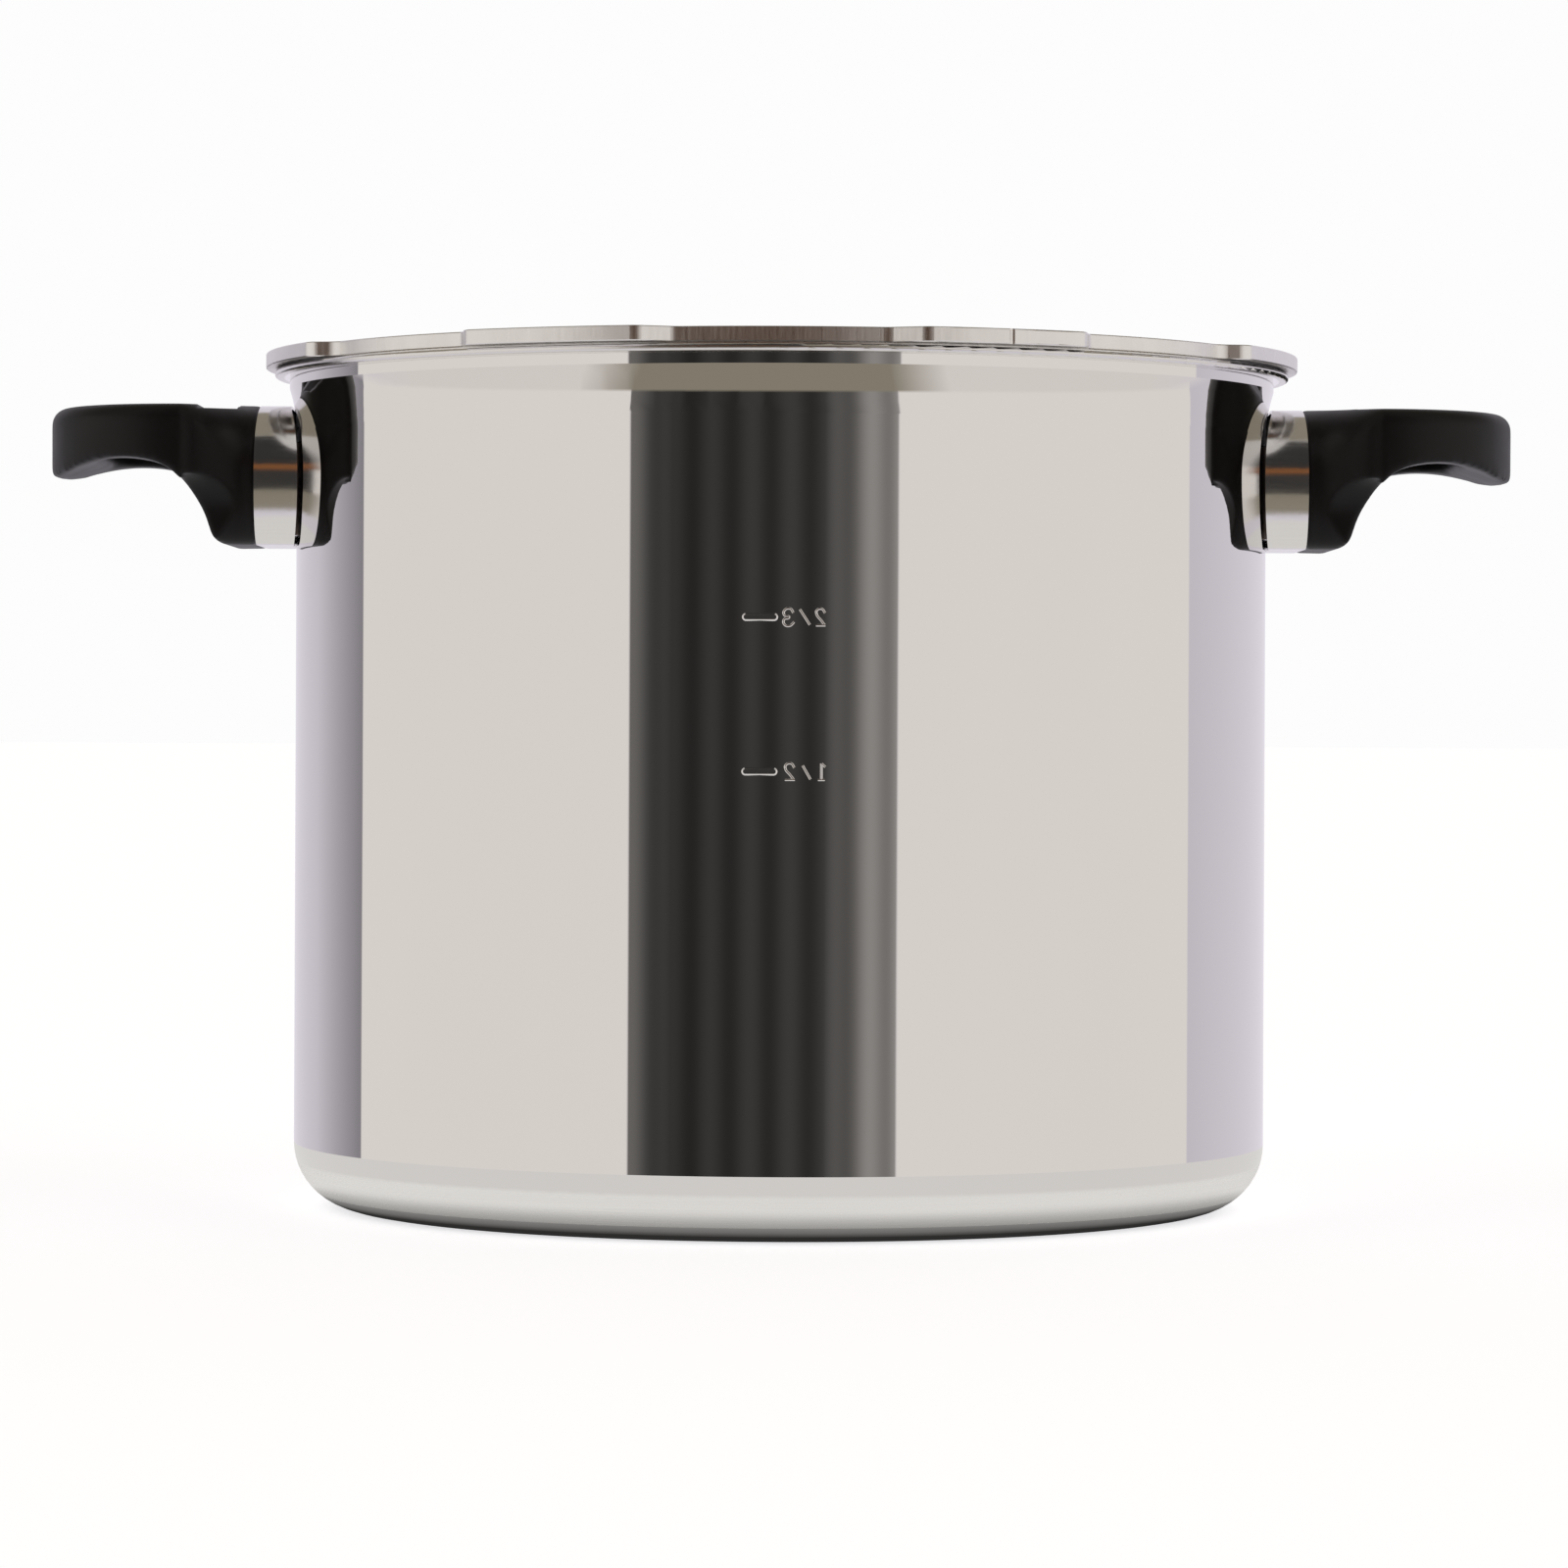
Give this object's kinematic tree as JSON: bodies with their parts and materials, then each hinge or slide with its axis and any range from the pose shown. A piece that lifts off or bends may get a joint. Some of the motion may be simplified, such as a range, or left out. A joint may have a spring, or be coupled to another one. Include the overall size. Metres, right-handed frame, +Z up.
{
  "type": "pressure cooker pot",
  "caption": "Deep round steel pot of a stovetop pressure cooker, with a castellated bayonet rim, a sandwich base and black loop grips on steel sleeves.",
  "frame": {"origin": "centre of the flat underside of the base", "axes": "+Z up out of the mouth, +X towards the right grip, -Y the front with the level marks"},
  "size_m": [0.3648, 0.253, 0.2118],
  "materials": {
    "polished_steel": "mirror polished stainless steel",
    "ring_steel": "machined and brushed edge",
    "base_steel": "satin, polished corner",
    "core_aluminium": "plain",
    "guard_steel": "mirror polished stainless steel",
    "bracket_steel": "plain pressed steel",
    "fastener_steel": "plated",
    "black_phenolic": "satin moulded phenolic"
  },
  "bodies": {
    "root": {"pot_body": "polished_steel", "bayonet_ring": "ring_steel", "base_core": "core_aluminium", "base_cap": "base_steel", "left_flame_guard": "guard_steel", "left_grip": "black_phenolic", "left_wall_bracket": "bracket_steel", "left_bracket_nut": "bracket_steel", "left_handle_screw": "fastener_steel", "left_washer": "fastener_steel", "left_lock_washer": "fastener_steel", "right_flame_guard": "guard_steel", "right_grip": "black_phenolic", "right_wall_bracket": "bracket_steel", "right_bracket_nut": "bracket_steel", "right_handle_screw": "fastener_steel", "right_washer": "fastener_steel", "right_lock_washer": "fastener_steel"}
  },
  "joints": []
}
